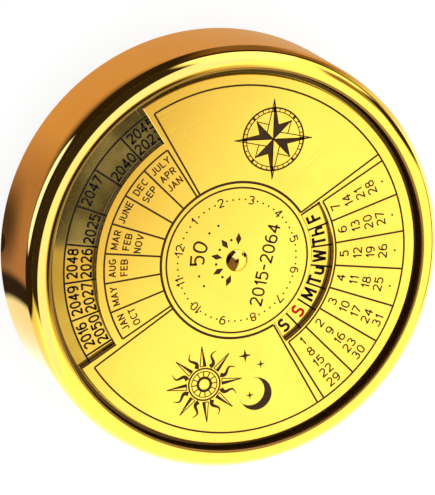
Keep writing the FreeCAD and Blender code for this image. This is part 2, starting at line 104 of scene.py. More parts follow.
flat_part = math.cos(CAMERA_ELEVATION)
to_camera = Vector((
    flat_part * math.cos(CAMERA_AZIMUTH),
    flat_part * math.sin(CAMERA_AZIMUTH),
    math.sin(CAMERA_ELEVATION),
))
steepest = (Vector((0, 0, 1)) - to_camera * to_camera.z).normalized()
sideways = steepest.cross(to_camera)
camera_up = steepest * math.cos(CAMERA_ROLL) - sideways * math.sin(CAMERA_ROLL)
camera_right = camera_up.cross(to_camera)
place = Vector((0, 0, plate_top)) + to_camera * CAMERA_DISTANCE
place += camera_up * AIM_DOWN - camera_right * AIM_RIGHT

camera_data = bpy.data.cameras.new("camera")
camera_data.sensor_fit = "AUTO"
camera_data.sensor_width = SENSOR_MM
camera_data.lens = LENS_MM
camera_data.clip_end = SIGHT_END
camera = bpy.data.objects.new("camera", camera_data)
facing = Matrix((camera_right, camera_up, to_camera)).transposed().to_4x4()
camera.matrix_world = Matrix.Translation(place) @ facing
bpy.context.scene.collection.objects.link(camera)
bpy.context.scene.camera = camera
print("camera at mm:", [round(x / MM, 1) for x in place])

# %% [markdown]
# Shader nodes are wired in the same few ways all through, so short helpers keep the later cells
# readable. One adds a node, some do arithmetic on numbers and vectors, some make masks, and the
# last ones lay colours over each other and start a material.

# %% Node helpers
def add(tree, kind, **values):
    """A shader node with its properties set, and its input sockets by name."""
    node = tree.nodes.new(kind)
    for name, value in values.items():
        if hasattr(node, name):
            setattr(node, name, value)
        else:
            node.inputs[name.replace("_", " ")].default_value = value
    return node


def feed(tree, sockets, terms):
    """Give each socket its term: a number, a tuple, or another node's socket."""
    for socket, term in zip(sockets, terms):
        if isinstance(term, (int, float, tuple)):
            socket.default_value = term
        else:
            tree.links.new(term, socket)


def maths(tree, operation, *terms, clamp=False):
    """The result of a Math node; each term is a number or a socket."""
    node = add(tree, "ShaderNodeMath", operation=operation, use_clamp=clamp)
    feed(tree, node.inputs, terms)
    return node.outputs[0]


def vector_maths(tree, operation, *terms, result="Vector"):
    """A result of a Vector Math node; each term is a tuple or a socket."""
    node = add(tree, "ShaderNodeVectorMath", operation=operation)
    feed(tree, node.inputs, terms)
    return node.outputs[result]


def product(tree, first, *others):
    """All terms multiplied."""
    for term in others:
        first = maths(tree, "MULTIPLY", first, term)
    return first


def length(tree, x, y):
    """The square root of x squared plus y squared."""
    return maths(tree, "SQRT", maths(tree, "ADD", product(tree, x, x), product(tree, y, y)))


def bearing(tree, x, y):
    """The direction of (x, y) in degrees, from -180 to 180."""
    return maths(tree, "DEGREES", maths(tree, "ARCTAN2", y, x))


def object_place(tree):
    """Where the shaded spot is, in the piece's own coordinates."""
    return add(tree, "ShaderNodeTexCoord").outputs["Object"]


def apart(tree, vector):
    """The x, y and z of a vector."""
    node = add(tree, "ShaderNodeSeparateXYZ")
    tree.links.new(vector, node.inputs[0])
    return node.outputs


def ramp(tree, value, low, high, ends=(0.0, 1.0)):
    """Smooth step: the first end below low, the second above high, an S-curve between."""
    node = add(tree, "ShaderNodeMapRange", interpolation_type="SMOOTHSTEP")
    tree.links.new(value, node.inputs["Value"])
    for name, number in zip(("From Min", "From Max", "To Min", "To Max"), (low, high, *ends)):
        node.inputs[name].default_value = number
    return node.outputs["Result"]


def fall(tree, value, low, high):
    """A smooth step down: 1 below low, 0 above high."""
    return ramp(tree, value, low, high, (1.0, 0.0))


def band(tree, value, low, high, soft):
    """1 between low and high, 0 outside, each edge a smooth step of soft to either side."""
    enter = ramp(tree, value, low - soft, low + soft)
    return product(tree, enter, fall(tree, value, high - soft, high + soft))


def oval_patch(tree, values, middle, half, inner, outer):
    """1 inside the share inner of an oval, 0 beyond the share outer of it.

    The share is the length of ((value - middle) / half), for two values.
    """
    shares = [
        maths(tree, "DIVIDE", maths(tree, "SUBTRACT", value, centre), size)
        for value, centre, size in zip(values, middle, half)
    ]
    return fall(tree, length(tree, *shares), inner, outer)


def blend_colours(tree, factor, first, second):
    """Two colours mixed by a factor from 0 to 1; each term is a value or a socket."""
    node = add(tree, "ShaderNodeMix", data_type="RGBA")
    colours = [(*term, 1.0) if isinstance(term, tuple) else term for term in (first, second)]
    feed(tree, (node.inputs[0], node.inputs[6], node.inputs[7]), (factor, *colours))
    return node.outputs[2]


def painted(tree, colour, layers):
    """A base colour with layers over it, each a mask and a colour."""
    for mask, tint in layers:
        colour = blend_colours(tree, mask, colour, tint)
    return colour


def new_material(name):
    """An empty material: its node tree and its Principled shader."""
    material = bpy.data.materials.new(name)
    material.use_nodes = True
    tree = material.node_tree
    tree.nodes.clear()
    shader = add(tree, "ShaderNodeBsdfPrincipled")
    output = add(tree, "ShaderNodeOutputMaterial")
    tree.links.new(shader.outputs[0], output.inputs[0])
    return material, tree, shader

# %% [markdown]
# The studio. A polished part shows its surroundings more than its own colour, so what stands
# round it matters as much as the lamps. The floor and the world are white to the eye. Round the
# calendar stands a light tent with bright panels, a dark gap and a warm low board. The camera
# looks through them, but the brass reflects them. From below the floor is clear, so that the
# underside can be looked at too.

# %% Floor
FLOOR_REACH = 6.0
FLOOR_GREY = (0.9, 0.9, 0.9, 1)
PAPER_WHITE = 0.88
FLOOR_GAP = 0.03 * MM


def new_piece(name, points, faces, smooth=True):
    """An object with a mesh from arrays of points and faces."""
    mesh = bpy.data.meshes.new(name)
    mesh.from_pydata(np.asarray(points).reshape(-1, 3).tolist(), [], np.asarray(faces).tolist())
    mesh.polygons.foreach_set("use_smooth", np.full(len(mesh.polygons), smooth))
    mesh.validate()
    piece = bpy.data.objects.new(name, mesh)
    bpy.context.scene.collection.objects.link(piece)
    return piece


def mixed_shader(tree, factor, first, second):
    """Two shaders mixed by a factor from 0 to 1, all sockets."""
    node = add(tree, "ShaderNodeMixShader")
    feed(tree, node.inputs, (factor, first, second))
    return node.outputs[0]


corners = FLOOR_REACH * np.array([[-1, -1, 0], [1, -1, 0], [1, 1, 0], [-1, 1, 0]])
corners[:, 2] = -FLOOR_GAP
floor = new_piece("floor", corners, [[0, 1, 2, 3]], smooth=False)
material, tree, shader = new_material("floor_white")
shader.inputs["Base Color"].default_value = FLOOR_GREY
shader.inputs["Roughness"].default_value = 0.9
shader.inputs["Specular IOR Level"].default_value = 0.0
paper = add(tree, "ShaderNodeEmission").outputs[0]
seen = add(tree, "ShaderNodeLightPath").outputs["Is Camera Ray"]
from_above = mixed_shader(tree, product(tree, seen, PAPER_WHITE), shader.outputs[0], paper)
below = add(tree, "ShaderNodeNewGeometry").outputs["Backfacing"]
clear = add(tree, "ShaderNodeBsdfTransparent").outputs[0]
both_sides = mixed_shader(tree, below, from_above, clear)
tree.links.new(both_sides, tree.nodes["Material Output"].inputs[0])
floor.data.materials.append(material)

# %% World
world = bpy.data.worlds.new("white_room")
world.use_nodes = True
bpy.context.scene.world = world
world.node_tree.nodes["Background"].inputs["Color"].default_value = (1, 1, 1, 1)
world.node_tree.nodes["Background"].inputs["Strength"].default_value = 1.0
print("world strength 1, floor reach in m:", FLOOR_REACH)

# %% [markdown]
# The tent is half a sphere with its brightness painted by direction. Each direction is an angle
# in the upright plane through the camera: 0 is the horizon under the camera, 90 is straight up
# and 180 the far horizon. The side is how far it leans out of that plane, to -90 and 90. A panel
# is a span of both, and the dark gap overhead is an oval. The sphere's own coordinates give the
# direction, so the pattern stays put when the camera moves.

# %% Light tent
TENT_RADIUS = 0.6
TENT_COLUMNS, TENT_ROWS = 96, 24
TENT_FOOT, TENT_CROWN = 0.002, math.radians(89.5)
BRIGHT = (1.5, 1.68, 1.3)
TOP_LIGHT = (1.3, 1.5, 2.2)
WARM_EDGE = (0.8, 0.66, 0.45)
SOFT_EDGE = (1.05, 1.12, 0.9)
DARK = (0.035, 0.03, 0.026)
CREAM = (2.0, 2.1, 2.3)
BROWN = (0.35, 0.24, 0.16)
GAP_MIDDLE, GAP_HALF = (97, 1.5), (13, 18)


def spherical(radius, columns, rows, lowest, highest):
    """Part of a sphere: x = r cos(v) cos(u), y = r cos(v) sin(u), z = r sin(v)."""
    u = np.linspace(0, 2 * np.pi, columns, endpoint=False)
    v = np.linspace(lowest, highest, rows)
    uu, vv = np.meshgrid(u, v)
    return radius * np.stack([np.cos(vv) * np.cos(uu), np.cos(vv) * np.sin(uu), np.sin(vv)], -1)


def grid_faces(rows, columns):
    """Quads between neighbours of a rows by columns grid that closes round."""
    i, j = np.meshgrid(np.arange(rows - 1), np.arange(columns), indexing="ij")
    near = (j + 1) % columns
    quads = [i * columns + j, i * columns + near, (i + 1) * columns + near, (i + 1) * columns + j]
    return np.stack(quads, -1).reshape(-1, 4)


def only_mirrored(piece):
    """Shown in mirrors alone: the eye looks through it, and it shades and lights nothing matt."""
    piece.visible_camera = False
    piece.visible_shadow = False
    piece.visible_diffuse = False


def glowing(name):
    """A material that only shines: its node tree and the socket of its colour."""
    material, tree, shader = new_material(name)
    tree.nodes.remove(shader)
    glow = add(tree, "ShaderNodeEmission")
    tree.links.new(glow.outputs[0], tree.nodes["Material Output"].inputs[0])
    return material, tree, glow.inputs["Color"]


tent_points = spherical(TENT_RADIUS, TENT_COLUMNS, TENT_ROWS, TENT_FOOT, TENT_CROWN)
tent = new_piece("light_tent", tent_points, grid_faces(TENT_ROWS, TENT_COLUMNS))
only_mirrored(tent)

material, tree, glow_colour = glowing("tent_panels")
turned = add(tree, "ShaderNodeMapping", vector_type="POINT")
turned.inputs["Rotation"].default_value = (0, 0, -CAMERA_AZIMUTH)
tree.links.new(object_place(tree), turned.inputs["Vector"])
along, across, up = apart(tree, turned.outputs[0])
angle = bearing(tree, along, up)
side = maths(tree, "DEGREES", maths(tree, "ARCSINE", maths(tree, "DIVIDE", across, TENT_RADIUS)))


def panel(low, high, soft, left=-90, right=90, side_soft=6):
    """Mask of a panel: 1 between two angles and two sides, with soft edges."""
    return product(tree, band(tree, angle, low, high, soft), band(tree, side, left, right, side_soft))


def overhead_gap(inner, outer):
    """Mask of the oval gap, from the share inner of its size to the share outer."""
    return oval_patch(tree, (angle, side), GAP_MIDDLE, GAP_HALF, inner, outer)


layers = [
    (panel(49, 184, 2.5), BRIGHT),
    (panel(49, 88, 2.5), TOP_LIGHT),
    (overhead_gap(1.06, 1.32), SOFT_EDGE),
    (overhead_gap(0.92, 1.12), WARM_EDGE),
    (overhead_gap(0.62, 0.88), DARK),
    (panel(8, 92, 4, -95, -46, 4), CREAM),
    (panel(112, 140, 5, -68, -48, 4), BROWN),
    (panel(140, 190, 5, -64, -41, 3), DARK),
    (panel(171, 190, 4, -42, -12, 6), BROWN),
    (panel(-5, 50, 3, 63, 95, 5), BRIGHT),
]
tree.links.new(painted(tree, DARK, layers), glow_colour)
tent.data.materials.append(material)
print("tent layers:", len(layers))

# %% [markdown]
# The drum's wall is upright, so from above it mirrors the table right beside it, and the round of
# its lip mirrors the table further out. A flat ring of board lies there, seen only in reflections:
# orange beside the wall, near black beyond, with one patch of window light, and pale on the far
# sides. Its colours are painted by reach, the distance from the middle in millimetres, and by
# turn, the direction in degrees from the x axis.

# %% Board round the foot
BOARD_INNER, BOARD_OUTER = 37.0, 600.0
BOARD_HEIGHT = 0.1 * MM
BOARD_STEPS = 128
ORANGE = (0.70, 0.41, 0.20)
DIM_ORANGE = (0.46, 0.25, 0.14)
NEAR_BLACK = (0.03, 0.02, 0.016)
BROWN_SHADE = (0.09, 0.05, 0.03)
TAN = (0.25, 0.14, 0.08)
PALE = (1.0, 0.98, 0.66)
WINDOW_LIGHT = (1.3, 1.7, 3.2)
FAR_LIGHT = (1.5, 1.75, 2.2)
ORANGE_END = (43.0, 45.0)
SLANT, SLANT_REACH, SLANT_OFFSET = -0.95, 46.5, 26.1
FIRST_TURN = -90.0

turns = np.linspace(0, 2 * np.pi, BOARD_STEPS, endpoint=False)
radii = np.array([[BOARD_INNER], [BOARD_OUTER]]) * MM
heights = np.full((2, BOARD_STEPS), BOARD_HEIGHT)
board_points = np.stack([radii * np.cos(turns), radii * np.sin(turns), heights], -1)
board = new_piece("warm_board", board_points, grid_faces(2, BOARD_STEPS))
only_mirrored(board)

material, tree, glow_colour = glowing("warm_board")
x, y, _ = apart(tree, object_place(tree))
reach = product(tree, length(tree, x, y), 1 / MM)
turn = maths(tree, "WRAP", bearing(tree, x, y), FIRST_TURN + 360.0, FIRST_TURN)


def within(low, high):
    """1 nearer than the reach low, 0 beyond high."""
    return fall(tree, reach, low, high)


def before(low, high):
    """1 at turns below low, 0 above high."""
    return fall(tree, turn, low, high)


def round_patch(reach_middle, reach_half, turn_middle, turn_half, inner=0.85):
    """1 inside an oval in reach and turn."""
    middle, half = (reach_middle, turn_middle), (reach_half, turn_half)
    return oval_patch(tree, (reach, turn), middle, half, inner, 1.05)


# The edge of the orange runs aslant: its turn grows with the reach, as far as the lip mirrors.
shift = maths(tree, "ADD", turn, SLANT_OFFSET)
slanted = maths(tree, "MULTIPLY_ADD", maths(tree, "MINIMUM", reach, SLANT_REACH), SLANT, shift)
layers = [
    (product(tree, before(8, 24), within(110, 130)), TAN),
    (product(tree, before(-18, -2), within(56, 66)), ORANGE),
    (product(tree, round_patch(56, 14, 84, 20), ramp(tree, reach, 44.5, 46.5)), WINDOW_LIGHT),
    (within(*ORANGE_END), ORANGE),
    (product(tree, band(tree, turn, 74, 150, 10), within(*ORANGE_END)), DIM_ORANGE),
    (round_patch(38, 4.5, 96, 17, 0.2), BROWN_SHADE),
    (round_patch(38, 0.9, 101, 3), NEAR_BLACK),
    (ramp(tree, slanted, 96, 100), NEAR_BLACK),
    (ramp(tree, slanted, 104, 107), PALE),
    (product(tree, before(-44, -24), within(130, 145)), PALE),
    (ramp(tree, turn, 122, 155), FAR_LIGHT),
    (before(-66, -46), FAR_LIGHT),
]
tree.links.new(painted(tree, NEAR_BLACK, layers), glow_colour)
board.data.materials.append(material)
print("board rings in mm:", BOARD_INNER, BOARD_OUTER)

# %% [markdown]
# One large weak lamp gives the plate a soft light from above and the floor its faint shadow. The
# brass doesn't mirror it, because the tent's panels are what shows on the brass.

# %% Soft lamp
LAMP_SIZE = 0.5
LAMP_POWER = 4.0
LAMP_PLACE = (-0.12, -0.2, 0.9)
lamp_data = bpy.data.lights.new("soft_lamp", "AREA")
lamp_data.shape = "DISK"
lamp_data.size = LAMP_SIZE
lamp_data.energy = LAMP_POWER
lamp = bpy.data.objects.new("soft_lamp", lamp_data)
lamp.location = LAMP_PLACE
lamp.rotation_euler = (-lamp.location).to_track_quat("-Z", "Y").to_euler()
lamp.visible_glossy = False
bpy.context.scene.collection.objects.link(lamp)
print("lamp at m:", LAMP_PLACE)

# %% [markdown]
# Polished brass isn't one colour. Turning leaves rings too fine to see one by one, handling leaves
# hairline scratches and dull smudges, and wiping leaves faint arcs in one corner of the plate. Shade
# is painted brown into the drum's recess, the plate's window walls and the disc's rim. Each effect
# is a node group, so that drum, plate and disc can have their own amounts. The rings are noise along
# the radius alone, the scratches are noise stretched along a direction, the smudges are slow noise
# and the arcs are noise by the distance from one point. The painted shade is a mask by height and
# radius. The last group marks a sector where a dark reflection is painted, on the disc and the stud,
# and leans the normal outwards by a slope.

# %% Surface effects as node groups
HAIR_STRETCH = (70, 2600, 70)
RING_DRIFT = 0.004
ARC_CENTRE = (8 * MM, 8 * MM, plate_top)
ARC_SWAY = 0.002
WIPED_CORNER = (22 * MM, 17 * MM, plate_top)
SECTOR_EDGE = 0.2


def new_group(name, inputs, outputs):
    """A node group: its tree, its inputs (floats, with defaults) and its outputs."""
    group = bpy.data.node_groups.new(name, "ShaderNodeTree")
    for label, value in inputs.items():
        socket = group.interface.new_socket(name=label, in_out="INPUT", socket_type="NodeSocketFloat")
        socket.default_value = value
    for label, kind in outputs.items():
        group.interface.new_socket(name=label, in_out="OUTPUT", socket_type=kind)
    entry = group.nodes.new("NodeGroupInput")
    leave = group.nodes.new("NodeGroupOutput")
    return group, entry.outputs, leave.inputs


def noise(tree, vector, scale, detail, rough=0.5):
    """Noise value from 0 to 1 at a scale; scale is a number or a socket."""
    node = add(tree, "ShaderNodeTexNoise", Detail=detail, Roughness=rough)
    feed(tree, (node.inputs["Vector"], node.inputs["Scale"]), (vector, scale))
    return node.outputs[0]


def flat_vector(tree, x, y):
    """The vector (x, y, 0)."""
    node = add(tree, "ShaderNodeCombineXYZ")
    feed(tree, node.inputs, (x, y))
    return node.outputs[0]


MASK = {"Mask": "NodeSocketFloat"}

turning_group, given, result = new_group(
    "turning_rings", {"Rings per metre": 3000.0, "Depth": 1.0}, {"Height": "NodeSocketFloat"})
tree = turning_group
x, y, _ = apart(tree, object_place(tree))
on_radius = flat_vector(tree, length(tree, x, y), product(tree, x, RING_DRIFT))
rings = noise(tree, on_radius, given["Rings per metre"], 2.0)
tree.links.new(product(tree, rings, given["Depth"]), result["Height"])

scratch_group, given, result = new_group("hairline_scratches", {"Angle": 0.0, "Amount": 1.0}, MASK)
tree = scratch_group
where = object_place(tree)
rotate = add(tree, "ShaderNodeVectorRotate", rotation_type="Z_AXIS")
feed(tree, (rotate.inputs["Vector"], rotate.inputs["Angle"]), (where, given["Angle"]))
stretch = add(tree, "ShaderNodeMapping")
feed(tree, (stretch.inputs["Vector"], stretch.inputs["Scale"]), (rotate.outputs[0], HAIR_STRETCH))
thin = ramp(tree, noise(tree, stretch.outputs[0], 1.0, 2.0), 0.66, 0.74)
patches = ramp(tree, noise(tree, where, 90.0, 1.0), 0.45, 0.65)
tree.links.new(product(tree, thin, patches, given["Amount"]), result["Mask"])

smudge_group, given, result = new_group("smudges", {"Scale": 60.0, "Amount": 1.0}, MASK)
tree = smudge_group
slow = ramp(tree, noise(tree, object_place(tree), given["Scale"], 4.0, 0.6), 0.4, 0.75)
tree.links.new(product(tree, slow, given["Amount"]), result["Mask"])

wipe_group, given, result = new_group("wiping_arcs", {"Lines per metre": 5200.0, "Amount": 1.0}, MASK)
tree = wipe_group
where = object_place(tree)
swing = vector_maths(tree, "DISTANCE", where, ARC_CENTRE, result="Value")
sway = product(tree, noise(tree, where, 60.0, 1.0), ARC_SWAY)
lines = noise(tree, flat_vector(tree, swing, sway), given["Lines per metre"], 1.0)
from_corner = vector_maths(tree, "DISTANCE", where, WIPED_CORNER, result="Value")
near = fall(tree, from_corner, 3 * MM, 10 * MM)
arcs = product(tree, ramp(tree, lines, 0.60, 0.70), near, given["Amount"])
tree.links.new(arcs, result["Mask"])

# Mask of painted shade: 1 below a height, nearer than one radius and farther than another.
depth_group, given, result = new_group("painted_shade_by_depth", {"Below": 0.0, "Within": 1.0, "Beyond": 0.0}, MASK)
tree = depth_group
x, y, z = apart(tree, object_place(tree))
radius = length(tree, x, y)
inside = maths(tree, "LESS_THAN", radius, given["Within"])
under = maths(tree, "LESS_THAN", z, given["Below"])
outside = maths(tree, "GREATER_THAN", radius, given["Beyond"])
tree.links.new(product(tree, inside, under, outside), result["Mask"])

dish_group, given, result = new_group(
    "dished_sector", {"Slope": 0.07, "From": 40.0, "To": 95.0}, {**MASK, "Normal": "NodeSocketVector"})
tree = dish_group
outwards = vector_maths(tree, "NORMALIZE", vector_maths(tree, "MULTIPLY", object_place(tree), (1, 1, 0)))
x, y, _ = apart(tree, outwards)
here = bearing(tree, x, y)
edges = [
    maths(tree, "MULTIPLY_ADD", maths(tree, "SUBTRACT", more, less), SECTOR_EDGE, 0.5, clamp=True)
    for more, less in ((here, given["From"]), (given["To"], here))
]
sunken = product(tree, *edges)
lean = vector_maths(tree, "MULTIPLY", outwards, product(tree, sunken, given["Slope"]))
plain_normal = add(tree, "ShaderNodeNewGeometry").outputs["Normal"]
leaning = vector_maths(tree, "NORMALIZE", vector_maths(tree, "ADD", plain_normal, lean))
feed(tree, (result["Mask"], result["Normal"]), (sunken, leaning))
print("node groups:", [group.name for group in bpy.data.node_groups])

# %% [markdown]
# Brass is a metal, so its colour is the colour of its reflection. The shader is Principled with
# Metallic 1. Smudges raise the roughness a little and darken the colour a little, and scratches
# and rings go through a Bump node. Painted shade is brown and a little rougher, and a painted dark
# reflection tints a sector. Edge wear is left out on the polished rim, where there is none.

# %% Brass finishes
BRASS = (0.96, 0.60, 0.105)
BRASS_AGED = (0.80, 0.43, 0.06)
# Colours of painted shade and of painted dark reflection follow.
RECESS_SHADE = (0.30, 0.15, 0.035)
WINDOW_WALL_SHADE = (0.09, 0.05, 0.02)
DISC_RIM_SHADE = (0.15, 0.085, 0.025)
DISC_REFLECTION_TINT = (0.76, 0.53, 0.16)
STUD_SHADE = (0.17, 0.06, 0.012)
RIM_SHADE_SHARE = 0.35
HAIR_ANGLES = (0.6, -0.9)
MARK_ROUGH, HAIR_ROUGH, SHADE_ZONE_ROUGH = 0.12, 0.15, 0.3
RELIEF_STRENGTH, RELIEF_DEPTH = 0.06, 0.02 * MM
NO_LIMIT = 1.0
WALL_RADIUS = 34.82 * MM
WINDOW_WALL = 0.13 * MM
DISC_EDGE = 33.5 * MM


def group_node(tree, group, **values):
    """A group node with its inputs set by name."""
    node = tree.nodes.new("ShaderNodeGroup")
    node.node_tree = group
    for name, value in values.items():
        node.inputs[name.replace("_", " ")].default_value = value
    return node


def use_group(tree, group, **values):
    """The first output of a group node."""
    return group_node(tree, group, **values).outputs[0]


def brass(name, polish, smudge, rings, ring_depth, scratches, wiped=0.0, shade_zone=(0.0, 0.0, 0.0),
          shade_colour=RECESS_SHADE, shaded_rim=None, sector=None, dish=0.0, sector_reflection=DISC_REFLECTION_TINT):
    """Polished brass. polish is the least roughness, the others are amounts of each effect.

    shade_zone is a height and two radii: below the height and between the radii, shade is painted brown.
    shaded_rim is a radius beyond which a little of that painted shade is laid.
    sector is a span of bearings painted with sector_reflection as a dark reflection, sloped outwards by
    dish.
    """
    material, tree, shader = new_material(name)
    marks = use_group(tree, smudge_group, Scale=55.0, Amount=smudge)
    hairs = use_group(tree, wipe_group, Amount=wiped)
    for angle in HAIR_ANGLES:
        hairs = maths(tree, "MAXIMUM", hairs, use_group(tree, scratch_group, Angle=angle, Amount=scratches))
    low = use_group(tree, depth_group, Below=shade_zone[0], Within=shade_zone[1], Beyond=shade_zone[2])
    # Painted shade and a painted dark reflection are laid over the brass colour here.
    layers = [(marks, BRASS_AGED), (low, shade_colour)]
    if shaded_rim:
        rim = use_group(tree, depth_group, Below=NO_LIMIT, Within=NO_LIMIT, Beyond=shaded_rim)
        layers.append((product(tree, rim, RIM_SHADE_SHARE), shade_colour))
    turning = use_group(tree, turning_group, Rings_per_metre=rings, Depth=ring_depth)
    bump = add(tree, "ShaderNodeBump", Strength=RELIEF_STRENGTH, Distance=RELIEF_DEPTH)
    tree.links.new(maths(tree, "SUBTRACT", turning, hairs), bump.inputs["Height"])
    if sector:
        sunken = group_node(tree, dish_group, Slope=dish, From=sector[0], To=sector[1])
        tree.links.new(sunken.outputs["Normal"], bump.inputs["Normal"])
        layers.append((sunken.outputs["Mask"], sector_reflection))
    rough = polish
    for mask, amount in ((marks, MARK_ROUGH), (hairs, HAIR_ROUGH), (low, SHADE_ZONE_ROUGH)):
        rough = maths(tree, "MULTIPLY_ADD", mask, amount, rough)
    shader.inputs["Metallic"].default_value = 1.0
    tree.links.new(painted(tree, BRASS, layers), shader.inputs["Base Color"])
    tree.links.new(rough, shader.inputs["Roughness"])
    tree.links.new(bump.outputs[0], shader.inputs["Normal"])
    return material


# Painted shade: inside the wall radius the drum is painted brown, darkening its recess wall and the lip's
# inner round.
case_brass = brass(
    "case_brass", polish=0.035, smudge=0.12, rings=2500.0, ring_depth=0.0, scratches=0.05,
    shade_zone=(NO_LIMIT, WALL_RADIUS, 0.0))
# Painted shade: below the plate's top the cut walls of its windows are painted dark brown.
plate_brass = brass(
    "plate_brass", polish=0.09, smudge=0.32, rings=3000.0, ring_depth=0.6, scratches=0.8, wiped=1.6,
    shade_zone=(plate_top - WINDOW_WALL, NO_LIMIT, 0.0), shade_colour=WINDOW_WALL_SHADE)
# Painted shade: the disc is a little brown beyond its outer engraved circle and fully brown beyond its
# edge. Painted dark reflection: the sector from 40 to 95 degrees is tinted olive.
disc_brass = brass(
    "disc_brass", polish=0.13, smudge=0.9, rings=3000.0, ring_depth=1.0, scratches=0.5,
    shade_zone=(NO_LIMIT, NO_LIMIT, DISC_EDGE), shade_colour=DISC_RIM_SHADE, shaded_rim=disc_circle,
    sector=(40.0, 95.0), dish=0.075)
# Painted dark reflection: the stud is painted dark brown from 66 to 178 degrees round.
stud_brass = brass(
    "stud_brass", polish=0.05, smudge=0.1, rings=3000.0, ring_depth=0.0, scratches=0.1,
    sector=(66.0, 178.0), sector_reflection=STUD_SHADE)
base_brass = brass(
    "base_brass", polish=0.3, smudge=0.5, rings=1500.0, ring_depth=1.0, scratches=0.5)
brasses = (case_brass, plate_brass, disc_brass, stud_brass, base_brass)
print("brass finishes:", [finish.name for finish in brasses])

# %% [markdown]
# The engraved lines and figures are filled with stoved enamel: dark brown on the plate, nearly
# black on the disc, red for Sundays and leap years. It is a little glossy and slightly uneven.

# %% Enamels
ENAMEL_SHINE = 0.04
GLOSS_DRIFT = 0.2


def enamel(name, colour, second, rough):
    """Baked enamel: a colour that drifts towards a second one, and uneven gloss."""
    material, tree, shader = new_material(name)
    drift = use_group(tree, smudge_group, Scale=700.0, Amount=0.6)
    tree.links.new(blend_colours(tree, drift, colour, second), shader.inputs["Base Color"])
    tree.links.new(maths(tree, "MULTIPLY_ADD", drift, GLOSS_DRIFT, rough), shader.inputs["Roughness"])
    shader.inputs["Specular IOR Level"].default_value = ENAMEL_SHINE
    return material


brown_enamel = enamel("brown_enamel", (0.034, 0.018, 0.007), (0.055, 0.030, 0.010), 0.55)
black_enamel = enamel("black_enamel", (0.010, 0.008, 0.006), (0.020, 0.015, 0.010), 0.5)
leap_enamel = enamel("leap_enamel", (0.095, 0.012, 0.006), (0.14, 0.022, 0.010), 0.55)
red_enamel = enamel("red_enamel", (0.40, 0.012, 0.004), (0.48, 0.022, 0.008), 0.5)
print("enamels:", [ink.name for ink in (brown_enamel, black_enamel, leap_enamel, red_enamel)])

# %% [markdown]
# The washers, the nut and the screws are steel and the ballast is cast iron. Nothing shows them
# from outside, so one plain finish each is enough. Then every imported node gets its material.

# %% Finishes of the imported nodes
DULL_SHARE = 0.6


def plain_metal(name, colour, rough, scale):
    """Steel or iron with slow variation in colour and roughness."""
    material, tree, shader = new_material(name)
    marks = use_group(tree, smudge_group, Scale=scale, Amount=1.0)
    darker = tuple(DULL_SHARE * part for part in colour)
    tree.links.new(blend_colours(tree, marks, colour, darker), shader.inputs["Base Color"])
    tree.links.new(maths(tree, "MULTIPLY_ADD", marks, GLOSS_DRIFT, rough), shader.inputs["Roughness"])
    shader.inputs["Metallic"].default_value = 1.0
    return material


steel = plain_metal("plain_steel", (0.55, 0.55, 0.56), 0.3, 120.0)
iron = plain_metal("cast_iron", (0.1, 0.1, 0.1), 0.6, 200.0)
finishes = {
    "face_plate": plate_brass, "calendar_disc": disc_brass, "base_plate": base_brass,
    "locating_pins": base_brass, "face_line_enamel": brown_enamel, "disc_line_enamel": black_enamel,
    "thrust_washer": steel, "spring_washer": steel, "plain_washer": steel, "lock_nut": steel,
    "base_screws": steel, "ballast_weight": iron, "case_body": case_brass, "pivot_stud": stud_brass,
}
for node, material in finishes.items():
    materials = frame["nodes"][node].data.materials
    materials.clear()
    materials.append(material)
print("finished nodes:", len(finishes))

# %% [markdown]
# A mirror finish shows every facet, so the drum is made again as a smooth surface. It is a
# profile spun round the axis: the profile is a list of radius and height, and a round is part of
# a circle sampled along its arc. The shape is that of the solid.

# %% Turned pieces
def arc(radius, height, size, start, end, steps):
    """Points on a circle: r = radius + size cos(a), z = height + size sin(a), in degrees."""
    a = np.radians(np.linspace(start, end, steps))
    return np.stack([radius + size * np.cos(a), height + size * np.sin(a)], -1)


WELD_GAP = 1e-7


def weld(piece):
    """Merge doubled points and turn the faces outwards."""
    work = bmesh.new()
    work.from_mesh(piece.data)
    bmesh.ops.remove_doubles(work, verts=work.verts, dist=WELD_GAP)
    bmesh.ops.dissolve_degenerate(work, dist=WELD_GAP / 10, edges=work.edges)
    bmesh.ops.recalc_face_normals(work, faces=work.faces)
    work.to_mesh(piece.data)
    work.free()


def spun(name, profile, columns=256):
    """Closed surface: every profile point (r, z) carried round Z as (r cos u, r sin u, z)."""
    profile = np.asarray(profile, float)
    if profile[0, 0] > 0:
        profile = np.vstack([profile, profile[:1]])
    u = np.linspace(0, 2 * np.pi, columns, endpoint=False)
    r, z = profile[:, :1], profile[:, 1:]
    points = np.stack([r * np.cos(u), r * np.sin(u), np.repeat(z, columns, 1)], -1)
    piece = new_piece(name, points, grid_faces(len(profile), columns))
    weld(piece)
    return piece


LIP_ROUND = 3.4 * MM
FOOT_ROUND = 0.4 * MM
INNER_ROUND = 0.25 * MM
RECESS_RADIUS = 34.4 * MM
SEAT_RADIUS, SEAT_HEIGHT = 36.8 * MM, 2.8 * MM
CAVITY_RADIUS, CAVITY_HEIGHT = 35.3 * MM, 13.2 * MM
BORE_RADIUS = 1.3 * MM
case_profile = np.vstack([
    [[BORE_RADIUS, CAVITY_HEIGHT], [CAVITY_RADIUS, CAVITY_HEIGHT]],
    [[CAVITY_RADIUS, SEAT_HEIGHT], [SEAT_RADIUS, SEAT_HEIGHT], [SEAT_RADIUS, case_foot]],
    arc(case_radius - FOOT_ROUND, case_foot + FOOT_ROUND, FOOT_ROUND, -90, 0, 8),
    arc(case_radius - LIP_ROUND, lip_top - LIP_ROUND, LIP_ROUND, 0, 90, 40),
    arc(RECESS_RADIUS + INNER_ROUND, lip_top - INNER_ROUND, INNER_ROUND, 90, 180, 10),
    [[RECESS_RADIUS, web_top], [BORE_RADIUS, web_top]],
])
drum = spun("brass_drum", case_profile)
drum.data.materials.append(case_brass)
